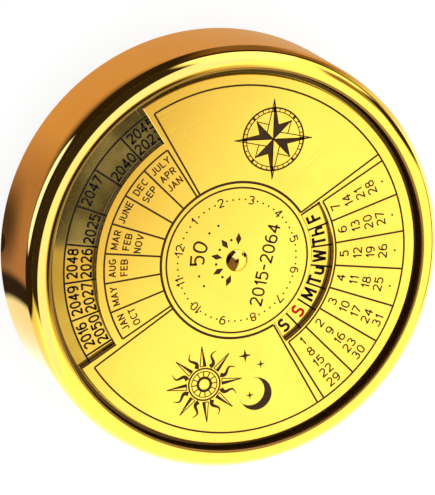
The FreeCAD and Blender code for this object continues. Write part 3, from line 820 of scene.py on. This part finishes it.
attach(drum, "case")
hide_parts("case_body")
print("drum faces:", len(drum.data.polygons))

# %% [markdown]
# The stud in the middle is the pivot. Its head is a shallow dome, which shows as a small bright
# spot, and its shank goes down through the plate, the disc and the drum's web. It is one piece on
# the real one, so it is one spun surface here: a straight shank, then part of a large ball.

# %% Centre stud
STUD_RADIUS = 2.0 * MM
SHANK_RADIUS = 1.25 * MM
SHANK_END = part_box("pivot_stud")[0].z
STUD_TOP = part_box("pivot_stud")[1].z
HEAD_FOOT = plate_top + 0.05 * MM
HEAD_RIM = 0.15 * MM


def dome_profile(radius, low, high, rim):
    """A short upright rim, then a cap of a ball up to the axis: ball = (r^2 + h^2) / 2h."""
    rise = high - low - rim
    ball = (radius ** 2 + rise ** 2) / (2 * rise)
    half = math.degrees(math.asin(radius / ball))
    return np.vstack([[[radius, low]], arc(0.0, high - ball, ball, 90 - half, 90, 24)])


stud_profile = np.vstack([
    [[0.0, SHANK_END], [SHANK_RADIUS, SHANK_END], [SHANK_RADIUS, HEAD_FOOT]],
    dome_profile(STUD_RADIUS, HEAD_FOOT, STUD_TOP, HEAD_RIM),
])
stud = spun("centre_stud", stud_profile, columns=96)
stud.data.materials.append(stud_brass)
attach(stud, "case")
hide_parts("pivot_stud")
print("stud from", round(SHANK_END / MM, 2), "to", round(STUD_TOP / MM, 2), "mm")

# %% [markdown]
# The foot is a disc of wool felt, glued under the base. Its edge is cut with a punch and stays a
# little soft, so it is rounded. Glue holds it flat, so no cloth simulation is needed.

# %% Felt pad
FELT_RADIUS = 36.3 * MM
FELT_THICK = 1.0 * MM
FELT_ROUND = 0.3 * MM
FELT_SHARES = np.array([0.0, 0.5, 0.8])
FELT_DARK, FELT_LIGHT = (0.012, 0.055, 0.026), (0.03, 0.10, 0.05)
felt_profile = np.vstack([
    np.stack([FELT_RADIUS * FELT_SHARES, np.zeros(3)], -1),
    arc(FELT_RADIUS - FELT_ROUND, FELT_ROUND, FELT_ROUND, -90, 0, 6),
    arc(FELT_RADIUS - FELT_ROUND, FELT_THICK - FELT_ROUND, FELT_ROUND, 0, 90, 6),
    [[FELT_RADIUS * FELT_SHARES[-1], FELT_THICK], [0.0, FELT_THICK]],
])
felt = spun("felt_foot", felt_profile, columns=192)
material, tree, shader = new_material("green_felt")
fibres = use_group(tree, smudge_group, Scale=2500.0, Amount=1.0)
tree.links.new(blend_colours(tree, fibres, FELT_DARK, FELT_LIGHT), shader.inputs["Base Color"])
shader.inputs["Roughness"].default_value = 0.95
shader.inputs["Sheen Weight"].default_value = 0.3
felt.data.materials.append(material)
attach(felt, "case")
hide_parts("felt_pad")
print("felt across in mm:", round(2 * FELT_RADIUS / MM, 1))

# %% [markdown]
# The real dial is etched with narrow letters of one even stroke, and each stroke is a shallow pit
# filled with enamel. Here each stroke is a thin solid of enamel, its foot sunk in the brass and
# its face two hundredths of a millimetre proud. A letter is a few lines and parts of ovals on a
# box one unit high, so its weight can be set for each row.

# %% Strokes of the letters
def oval(x, y, wide, tall, start=0, end=360):
    """Part of a squarish oval: x + wide c|c|^-0.15, y + tall s|s|^-0.15, angles in degrees."""
    a = np.radians(np.linspace(start, end, max(6, int(abs(end - start) / 12))))
    c, s = np.cos(a), np.sin(a)
    return np.stack([x + wide * np.sign(c) * abs(c) ** 0.85, y + tall * np.sign(s) * abs(s) ** 0.85], -1)


def sticks(*corners):
    """Straight strokes through the corners, one after another."""
    return [np.array([first, second], float) for first, second in zip(corners, corners[1:])]


STEM = sticks((0, 0), (0, 1))
BOWL = sticks((0, 1), (0.22, 1)) + [oval(0.22, 0.74, 0.26, 0.26, 90, -90)] + sticks((0, 0.48), (0.22, 0.48))
GLYPHS = {
    "0": [oval(0.26, 0.5, 0.26, 0.5)],
    "1": sticks((0.06, 0.76), (0.22, 1), (0.22, 0)),
    "2": [np.vstack([oval(0.25, 0.73, 0.25, 0.27, 165, -35), [[0.0, 0.0]]])] + sticks((0, 0), (0.5, 0)),
    "3": [oval(0.23, 0.76, 0.23, 0.24, 150, -90), oval(0.23, 0.27, 0.27, 0.27, 90, -150)],
    "4": sticks((0.4, 0), (0.4, 1), (0, 0.3), (0.54, 0.3)),
    "5": sticks((0.46, 1), (0.06, 1), (0.03, 0.56)) + [oval(0.23, 0.33, 0.27, 0.33, 135, -145)],
    "6": [oval(0.26, 0.31, 0.26, 0.31), oval(0.3, 0.4, 0.3, 0.6, 185, 68)],
    "7": sticks((0, 1), (0.5, 1), (0.17, 0)),
    "8": [oval(0.26, 0.76, 0.22, 0.24), oval(0.26, 0.27, 0.26, 0.27)],
    "9": [oval(0.26, 0.69, 0.26, 0.31), oval(0.22, 0.6, 0.3, 0.6, 5, -112)],
    "A": sticks((0, 0), (0.28, 1), (0.56, 0)) + sticks((0.1, 0.32), (0.46, 0.32)),
    "B": STEM + BOWL + [oval(0.22, 0.24, 0.3, 0.24, 90, -90)] + sticks((0, 0), (0.22, 0)),
    "C": [oval(0.28, 0.5, 0.28, 0.5, 48, 312)],
    "D": STEM + sticks((0, 1), (0.2, 1)) + [oval(0.2, 0.5, 0.32, 0.5, 90, -90)] + sticks((0, 0), (0.2, 0)),
    "E": sticks((0.44, 1), (0, 1), (0, 0), (0.44, 0)) + sticks((0, 0.52), (0.38, 0.52)),
    "F": sticks((0.44, 1), (0, 1), (0, 0)) + sticks((0, 0.52), (0.38, 0.52)),
    "G": [oval(0.28, 0.5, 0.28, 0.5, 48, 345)] + sticks((0.34, 0.42), (0.56, 0.42)),
    "J": sticks((0.38, 1), (0.38, 0.25)) + [oval(0.19, 0.25, 0.19, 0.25, 0, -165)],
    "L": sticks((0, 1), (0, 0), (0.42, 0)),
    "M": sticks((0, 0), (0, 1), (0.32, 0.2), (0.64, 1), (0.64, 0)),
    "N": sticks((0, 0), (0, 1), (0.5, 0), (0.5, 1)),
    "O": [oval(0.29, 0.5, 0.29, 0.5)],
    "P": STEM + BOWL,
    "R": STEM + BOWL + sticks((0.24, 0.48), (0.48, 0)),
    "S": [oval(0.25, 0.755, 0.23, 0.245, 35, 270), oval(0.25, 0.255, 0.25, 0.255, 90, -145)],
    "T": sticks((0, 1), (0.52, 1)) + sticks((0.26, 1), (0.26, 0)),
    "U": [np.vstack([[[0.0, 1.0]], oval(0.25, 0.28, 0.25, 0.28, 180, 360), [[0.5, 1.0]]])],
    "V": sticks((0, 1), (0.27, 0), (0.54, 1)),
    "W": sticks((0, 1), (0.2, 0), (0.4, 0.95), (0.6, 0), (0.8, 1)),
    "Y": sticks((0, 1), (0.26, 0.5), (0.52, 1)) + sticks((0.26, 0.5), (0.26, 0)),
    "h": STEM + [np.vstack([oval(0.2, 0.4, 0.2, 0.24, 180, 0), [[0.4, 0.0]]])],
    "u": sticks((0, 0.64), (0, 0.22)) + [oval(0.2, 0.22, 0.2, 0.22, 180, 360)]
    + sticks((0.4, 0.64), (0.4, 0)),
    "-": sticks((0, 0.5), (0.3, 0.5)),
}
print("letters and figures drawn:", len(GLYPHS))

# %% [markdown]
# Each stroke gets a width and becomes a ribbon, and the ribbons of a word become one mesh. Numpy
# then bends the straight line of letters round the dial's centre, so that they fan as on a dial.

# %% Letters as solids
FIGURE_SUNK = 0.05 * MM
FIGURE_PROUD = 0.02 * MM
END_REACH = 0.35


def ribbon(path, width):
    """A stroke as a thin solid: the path p gives p +- n w / 2, from z -0.5 to 0.5.

    Straight strokes reach a third of a width past their ends, so that corners close.
    """
    closed = len(path) > 3 and np.allclose(path[0], path[-1])
    along = np.gradient(path, axis=0)
    if closed:
        along[0] = along[-1] = path[1] - path[-2]
    along /= np.linalg.norm(along, axis=1, keepdims=True)
    if len(path) == 2:
        path = path + along * [[-END_REACH * width], [END_REACH * width]]
    across = np.stack([-along[:, 1], along[:, 0]], -1) * width / 2
    sides = np.stack([path + across, path - across, path - across, path + across], 1)
    levels = np.broadcast_to(np.array([0.5, 0.5, -0.5, -0.5])[:, None], (len(path), 4, 1))
    points = np.concatenate([sides, levels], -1)
    if closed:
        points = points[:-1]
    last = (len(points) - 1) * 4
    if closed:
        rest = [[last + i, last + (i + 1) % 4, (i + 1) % 4, i] for i in range(4)]
    else:
        rest = [[0, 1, 2, 3], [last + 3, last + 2, last + 1, last]]
    return points.reshape(-1, 3), np.vstack([grid_faces(len(points), 4), rest])


def joined(shapes):
    """Points and faces of many shapes as one."""
    starts = np.cumsum([0] + [len(points) for points, _ in shapes[:-1]])
    faces = np.vstack([own + start for (_, own), start in zip(shapes, starts)])
    return np.vstack([points for points, _ in shapes]), faces


def word_mesh(text, weight, gap):
    """A word one unit high, its middle at the origin; weight and gap are shares of the height."""
    shapes, pen = [], 0.0
    for letter in text:
        strokes = GLYPHS[letter]
        for path in strokes:
            shapes.append(ribbon(path * (1, 1 - weight) + (pen, weight / 2), weight))
        pen += max(path[:, 0].max() for path in strokes) + gap
    points, faces = joined(shapes)
    points[:, 0] -= (points[:, 0].min() + points[:, 0].max()) / 2
    points[:, 1] -= 0.5
    return points, faces


def bent(points, radius, angle, outward):
    """Bends a flat line of letters round Z: x runs along the circle and y across it.

    With tops outward a point lands at angle - x/r and radius + y, otherwise at angle + x/r and
    radius - y.
    """
    way = 1.0 if outward else -1.0
    a = angle - way * points[:, 0] / radius
    r = radius + way * points[:, 1]
    return np.stack([r * np.cos(a), r * np.sin(a), points[:, 2]], -1)


def finish_piece(piece, material, body):
    """Material and body of a new piece."""
    piece.data.materials.append(material)
    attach(piece, body)
    return piece


def lettering(name, words, body, ink, height, stretch=1.1, weight=0.145, gap=0.28, outward=True):
    """One mesh from words given as (text, radius, angle), all of one height.

    Those of the case lie on the disc, and those of the dial on the face plate.
    """
    surface = disc_top if body == "case" else plate_top
    shapes = []
    for text, radius, angle in words:
        points, faces = word_mesh(text, weight, gap)
        points = points * (height * stretch, height, FIGURE_SUNK + FIGURE_PROUD)
        points[:, 2] += surface + (FIGURE_PROUD - FIGURE_SUNK) / 2
        shapes.append((bent(points, radius, angle, outward), faces))
    piece = new_piece(name, *joined(shapes), smooth=False)
    weld(piece)
    print(name, "words:", len(words), "faces:", len(piece.data.polygons))
    return finish_piece(piece, ink, body)

# %% [markdown]
# The years follow a rule, not a list. The first of March falls on one weekday in each year, and
# all years of one weekday share the sectors of that weekday. Going clockwise that weekday steps
# back by one from sector to sector, so that the weekday letters opposite come right. Seven
# weekdays in 28 sectors give each weekday four sectors of two places: room for 50 years. The
# sectors in the window at rest are given, and the rest are filled by the rule.

# %% Years on the disc
FIRST_YEAR, YEARS = 2015, 50
SECTOR = 2 * math.pi / SECTORS
YEAR_ROWS = (0.953 * dial_circle, 0.872 * dial_circle)
FRONT_SECTORS = {
    0: (2016, 2050), 1: (2049, 2027), 2: (2048, 2026), 3: (None, 2025),
    4: (2047, None), 5: (None, 2040), 6: (2045, 2023), 27: (2017, 2051),
}
START_ANGLE = MONTHS_SIDE + DISC_TURN + 3 * SECTOR


def march_weekday(year):
    """Weekday of the first of March, Monday 0 to Sunday 6."""
    return datetime.date(year, 3, 1).weekday()


placed = dict(FRONT_SECTORS)
used = {year for pair in placed.values() for year in pair if year}
left = [year for year in range(FIRST_YEAR, FIRST_YEAR + YEARS) if year not in used]
free = [sector for sector in range(SECTORS) if sector not in placed]
for weekday in range(7):
    rest = [year for year in left if march_weekday(year) == weekday]
    own = [sector for sector in free if (march_weekday(2016) - sector) % 7 == weekday]
    for i, sector in enumerate(own):
        pair = rest[i::len(own)][:2]
        placed[sector] = tuple(pair) + (None,) * (2 - len(pair))
years = [
    (str(year), YEAR_ROWS[row], START_ANGLE - sector * SECTOR)
    for sector, pair in placed.items() for row, year in enumerate(pair) if year
]
lettering(
    "year_figures", years, "case", black_enamel, height=2.1 * MM, stretch=0.85, weight=0.18, gap=0.27)

# %% Weekday letters on the disc
WEEKDAYS = ("S", "M", "Tu", "W", "Th", "F", "S")
FIRST_RED = 1
WEEKDAY_ROW = 0.507 * dial_circle
first_letter = DATES_SIDE + DISC_TURN - 3 * SECTOR
letters = [
    (WEEKDAYS[(i - FIRST_RED) % 7], WEEKDAY_ROW, first_letter + i * SECTOR) for i in range(SECTORS)
]
plain_days = [letter for i, letter in enumerate(letters) if (i - FIRST_RED) % 7]
sundays = letters[FIRST_RED::7]
for name, chosen, ink in (
        ("weekday_letters", plain_days, black_enamel), ("sunday_letters", sundays, red_enamel)):
    lettering(
        name, chosen, "case", ink, height=2.65 * MM, stretch=0.93, weight=0.19, gap=0.27, outward=False)

# %% [markdown]
# The face plate carries the months with their tops outward and the dates with their tops towards
# the stud, so that each reads upright when its own side is turned up. The months share cells where
# they begin on the same weekday, and those with a star are the ones of leap years, in red.

# %% Months
MONTH_CELLS = (
    ("JAN", "OCT"), ("MAY",), ("AUG", "FEB*"), ("MAR", "FEB", "NOV"), ("JUNE",), ("DEC", "SEP"),
    ("JULY", "APR", "JAN*"),
)
MONTH_ROWS = (0.733, 0.664, 0.596)
months, leap_months = [], []
for cell, names in enumerate(MONTH_CELLS):
    angle = MONTHS_SIDE + (3 - cell) * CELL
    for row, name in zip(MONTH_ROWS, names):
        target = leap_months if name.endswith("*") else months
        target.append((name.rstrip("*"), row * dial_circle, angle))
for name, chosen, ink in (
        ("month_names", months, brown_enamel), ("leap_month_names", leap_months, leap_enamel)):
    lettering(name, chosen, "dial", ink, height=1.36 * MM, stretch=1.05, weight=0.165, gap=0.29)

# %% Dates
DATE_ROWS = (0.640, 0.720, 0.797, 0.872, 0.945)
DAYS = 31
dates = [
    (str(day + 1), DATE_ROWS[day // 7] * dial_circle, DATES_SIDE + (day % 7 - 3) * CELL)
    for day in range(DAYS)
]
lettering(
    "date_figures", dates, "dial", brown_enamel, height=1.72 * MM, stretch=1.04, outward=False)

# %% [markdown]
# The marks that aren't letters are closed outlines: a ring is two circles, and a stroke is a line
# given a width. Blender fills a flat curve of such outlines, with the holes left open, and gives
# it a thickness. The outlines are drawn in millimetres.

# %% Flat marks from outlines
def solid_from_curve(curve):
    """Points and triangles of a flat curve, which is used up."""
    holder = bpy.data.objects.new("curve", curve)
    bpy.context.scene.collection.objects.link(holder)
    graph = bpy.context.evaluated_depsgraph_get()
    mesh = bpy.data.meshes.new_from_object(holder.evaluated_get(graph))
    points = np.empty(len(mesh.vertices) * 3)
    mesh.vertices.foreach_get("co", points)
    mesh.calc_loop_triangles()
    triangles = np.empty(len(mesh.loop_triangles) * 3, dtype=int)
    mesh.loop_triangles.foreach_get("vertices", triangles)
    bpy.data.objects.remove(holder)
    bpy.data.curves.remove(curve)
    bpy.data.meshes.remove(mesh)
    return points.reshape(-1, 3), triangles.reshape(-1, 3)


def mark(*outlines):
    """A thin solid one unit high, filled between closed outlines: points and triangles."""
    curve = bpy.data.curves.new("mark", "CURVE")
    curve.dimensions = "2D"
    curve.fill_mode = "BOTH"
    curve.extrude = 0.5
    for outline in outlines:
        spline = curve.splines.new("POLY")
        spline.points.add(len(outline) - 1)
        flat = np.column_stack([outline, np.zeros(len(outline)), np.ones(len(outline))])
        spline.points.foreach_set("co", flat.ravel())
        spline.use_cyclic_u = True
    return solid_from_curve(curve)


def unit(angle):
    """The direction of an angle: (cos a, sin a)."""
    return np.array([math.cos(angle), math.sin(angle)])


def ring(radius, width, centre=(0.0, 0.0), count=64):
    """Two circles, width apart, about a centre: x = cx + r cos(u), y = cy + r sin(u)."""
    u = np.linspace(0, 2 * np.pi, count, endpoint=False)
    rim = np.stack([np.cos(u), np.sin(u)], -1)
    return [np.asarray(centre) + (radius + side * width / 2) * rim for side in (1, -1)]


def spot(radius, centre=(0.0, 0.0), count=20):
    """One circle about a centre."""
    return ring(radius, 0.0, centre, count)[0]


def stroke(path, width):
    """Outline of an open line given a width, which may change along it: p +- n w / 2."""
    path = np.asarray(path, float)
    along = np.gradient(path, axis=0)
    along /= np.linalg.norm(along, axis=1, keepdims=True)
    across = np.stack([-along[:, 1], along[:, 0]], -1) * np.broadcast_to(width, len(path))[:, None] / 2
    return np.vstack([path + across, (path - across)[::-1]])


def framed(corners, width):
    """Strokes along the sides of a polygon."""
    corners = np.asarray(corners, float)
    return [mark(stroke([a, b], width)) for a, b in zip(corners, np.roll(corners, -1, axis=0))]


def turned_by(points, angle):
    """Points turned about the origin: (x cos a - y sin a, x sin a + y cos a)."""
    c, s = math.cos(angle), math.sin(angle)
    return np.asarray(points, float) @ np.array([[c, s], [-s, c]])


def printed(name, shapes, centre=(0.0, 0.0), angle=0.0):
    """One mesh from marks drawn in millimetres, turned, then set down on the face plate."""
    points, faces = joined(shapes)
    flat = turned_by(points[:, :2], angle) * MM + np.asarray(centre)
    z = points[:, 2:] * (FIGURE_SUNK + FIGURE_PROUD) + plate_top + (FIGURE_PROUD - FIGURE_SUNK) / 2
    piece = new_piece(name, np.hstack([flat, z]), faces, smooth=False)
    weld(piece)
    print(name, "marks:", len(shapes))
    return finish_piece(piece, brown_enamel, "dial")

# %% Dots in the last row of the dates
last_row = DATE_ROWS[-1] * dial_circle / MM
DATE_DOT = 0.19
dots = [mark(spot(DATE_DOT, last_row * unit(DATES_SIDE + n * CELL), 14)) for n in range(4)]
printed("date_dots", dots)

# %% [markdown]
# Round the middle runs a ring of plain numbers with dots between, like the hours of a clock. Above
# and below the stud stand the number of years and the first and last of them. That last line is
# nearly straight, so it is bent round a far centre and then moved back.

# %% Middle of the plate
HOURS_RING = 0.350 * dial_circle
hours = [(str(n), HOURS_RING, MONTHS_SIDE - n * math.pi / 6) for n in range(1, 13)]
lettering("ring_numbers", hours, "dial", brown_enamel, height=1.6 * MM, weight=0.14)

RING_DOT, RING_DOTS_AT, DOTS_BETWEEN = 0.17, 11.0, 4
dot_angles = [n * math.pi / 30 for n in range(60) if n % (DOTS_BETWEEN + 1)]
printed("ring_dots", [mark(spot(RING_DOT, RING_DOTS_AT * unit(a), 12)) for a in dot_angles])

COUNT_AT = 7.4
count_word = [(str(YEARS), COUNT_AT * MM, MONTHS_SIDE)]
lettering("years_count", count_word, "dial", brown_enamel, height=2.8 * MM, weight=0.13)

FAR_BEND, SPAN_AT = 400 * MM, -5.3 * MM
span_word = [(f"{FIRST_YEAR}-{FIRST_YEAR + YEARS - 1}", FAR_BEND, MONTHS_SIDE)]
year_span = lettering(
    "year_span", span_word, "dial", brown_enamel, height=2.45 * MM, stretch=0.98, weight=0.14, gap=0.25)
year_span.data.transform(Matrix.Translation((0.0, SPAN_AT - FAR_BEND, 0.0)))

# %% Band of lozenges
STEP, COUNT_STEP = math.radians(20), math.radians(16)
LOZENGE = np.array([[0.0, 1.1], [0.52, 0.0], [0.0, -1.1], [-0.52, 0.0]])
BAND_AT = 3.9
BAND_DOT, COUNT_DOT = 0.24, 0.22
band_marks = []
for step in range(-4, 5):
    lean = step * STEP
    shape = spot(BAND_DOT) if step % 2 else turned_by(LOZENGE, -lean)
    band_marks.append(mark(shape + BAND_AT * unit(MONTHS_SIDE - lean)))
for step in (-3, -2, 2, 3):
    band_marks.append(mark(spot(COUNT_DOT) + COUNT_AT * unit(MONTHS_SIDE - step * COUNT_STEP)))
printed("lozenge_band", band_marks)

# %% [markdown]
# One side sector holds a compass rose: an outer ring with ticks, four long points and four short
# ones, each split down the middle into a dark and a light half, as map makers draw them.

# %% Compass rose
ROSE_PLACE, ROSE_LEAN = (22.3 * MM, -1.3 * MM), math.radians(12)
LONG, SHORT, NOTCH, TICKS = 7.2, 4.6, 1.2, 32
ROSE_RING, INNER_RING = 5.6, 4.95
THIN, THICK = 0.17, 0.3
TICK, BOLD_TICK = 0.16, 0.45
NECK = 0.24
rose = [mark(*ring(ROSE_RING, THICK)), mark(*ring(INNER_RING, THIN))]
for tick in range(TICKS):
    way = unit(2 * math.pi * tick / TICKS)
    rose.append(mark(stroke([way * INNER_RING, way * ROSE_RING], TICK if tick % 4 else BOLD_TICK)))
tip = SHORT / math.sqrt(2)
long_half = np.array([[0, 0], [0, LONG], [NOTCH, NOTCH]])
short_half = np.array([[NOTCH, NOTCH], [(1 - NECK) * NOTCH, NOTCH + NECK * (LONG - NOTCH)], [tip, tip]])
for quarter in range(4):
    a = quarter * math.pi / 2
    for dark, light in ((long_half, long_half * (-1, 1)), (short_half, short_half[:, ::-1])):
        rose.append(mark(turned_by(dark[::-1], a)))
        rose.extend(framed(turned_by(light, a), THIN))
printed("compass_rose", rose, ROSE_PLACE, ROSE_LEAN)

# %% [markdown]
# The other side sector holds a sun with straight and wavy rays, a crescent moon and three stars.
# A wavy ray is a line that swings from side to side while its width shrinks to a point.

# %% Sun
FACE_RINGS = ((2.9, THICK), (2.35, THIN), (1.2, 0.5))
SPOKES, RAYS = 12, 16
SPOKE_FOOT, SPOKE_TIP, SPOKE = 1.45, 2.3, 0.2
RAY_FOOT, RAY_TIP, RAY_HALF = 3.3, 7.0, 0.55
WAVE_LENGTH, WAVE_SWING, WAVE_TURNS = 3.1, 0.42, 2.2
WAVE_FOOT, WAVE_TIP = 0.83, 0.08
SUN_PLACE = (-3.0, 0.9, 0.0)
sun = [mark(*ring(radius, width)) for radius, width in FACE_RINGS]
for spoke in range(SPOKES):
    way = unit(2 * math.pi * spoke / SPOKES)
    sun.append(mark(stroke([way * SPOKE_FOOT, way * SPOKE_TIP], SPOKE)))
s = np.linspace(0, 1, 24)
wave = np.stack([WAVE_SWING * np.sin(WAVE_TURNS * math.pi * s), RAY_FOOT + WAVE_LENGTH * s], -1)
wave_width = WAVE_FOOT + (WAVE_TIP - WAVE_FOOT) * s
spike = np.array([[-RAY_HALF, RAY_FOOT], [0, RAY_TIP], [RAY_HALF, RAY_FOOT]])
dark_half = np.array([[0, RAY_FOOT], [0, RAY_TIP], [RAY_HALF, RAY_FOOT]])
for ray in range(RAYS):
    a = 2 * math.pi * ray / RAYS
    if ray % 2:
        sun.append(mark(stroke(turned_by(wave, a), wave_width)))
    else:
        sun.extend(framed(turned_by(spike, a), THIN))
        sun.append(mark(turned_by(dark_half, a)))
sun = [(points + SUN_PLACE, faces) for points, faces in sun]

# %% Moon and stars
SKY_PLACE, SKY_LEAN = (-22.8 * MM, -2.6 * MM), math.radians(-72)
MOON = np.array([6.4, -2.4])
MOON_OUTER, MOON_INNER, MOON_SHIFT = 3.0, 2.62, -1.15
MOON_LEAN = math.radians(-35)
STARS = ((4.9, 4.9, 1.25), (7.7, 2.9, 0.8), (5.3, -2.5, 0.8))
STAR_WAIST = 0.28
crescent = np.vstack([
    arc(0.0, 0.0, MOON_OUTER, -125, 125, 40),
    arc(MOON_SHIFT, 0.0, MOON_INNER, 112, -112, 40),
])
moon = [mark(turned_by(crescent, MOON_LEAN) + MOON)]
for x, y, size in STARS:
    tips = [size * (STAR_WAIST if i % 2 else 1.0) * unit(i * math.pi / 4) for i in range(8)]
    moon.append(mark(np.array(tips) + (x, y)))
printed("sun_and_moon", sun + moon, SKY_PLACE, SKY_LEAN)

# %% [markdown]
# The last cell sets the view transform to Standard.

# %% Finish
bpy.context.scene.view_settings.view_transform = "Standard"
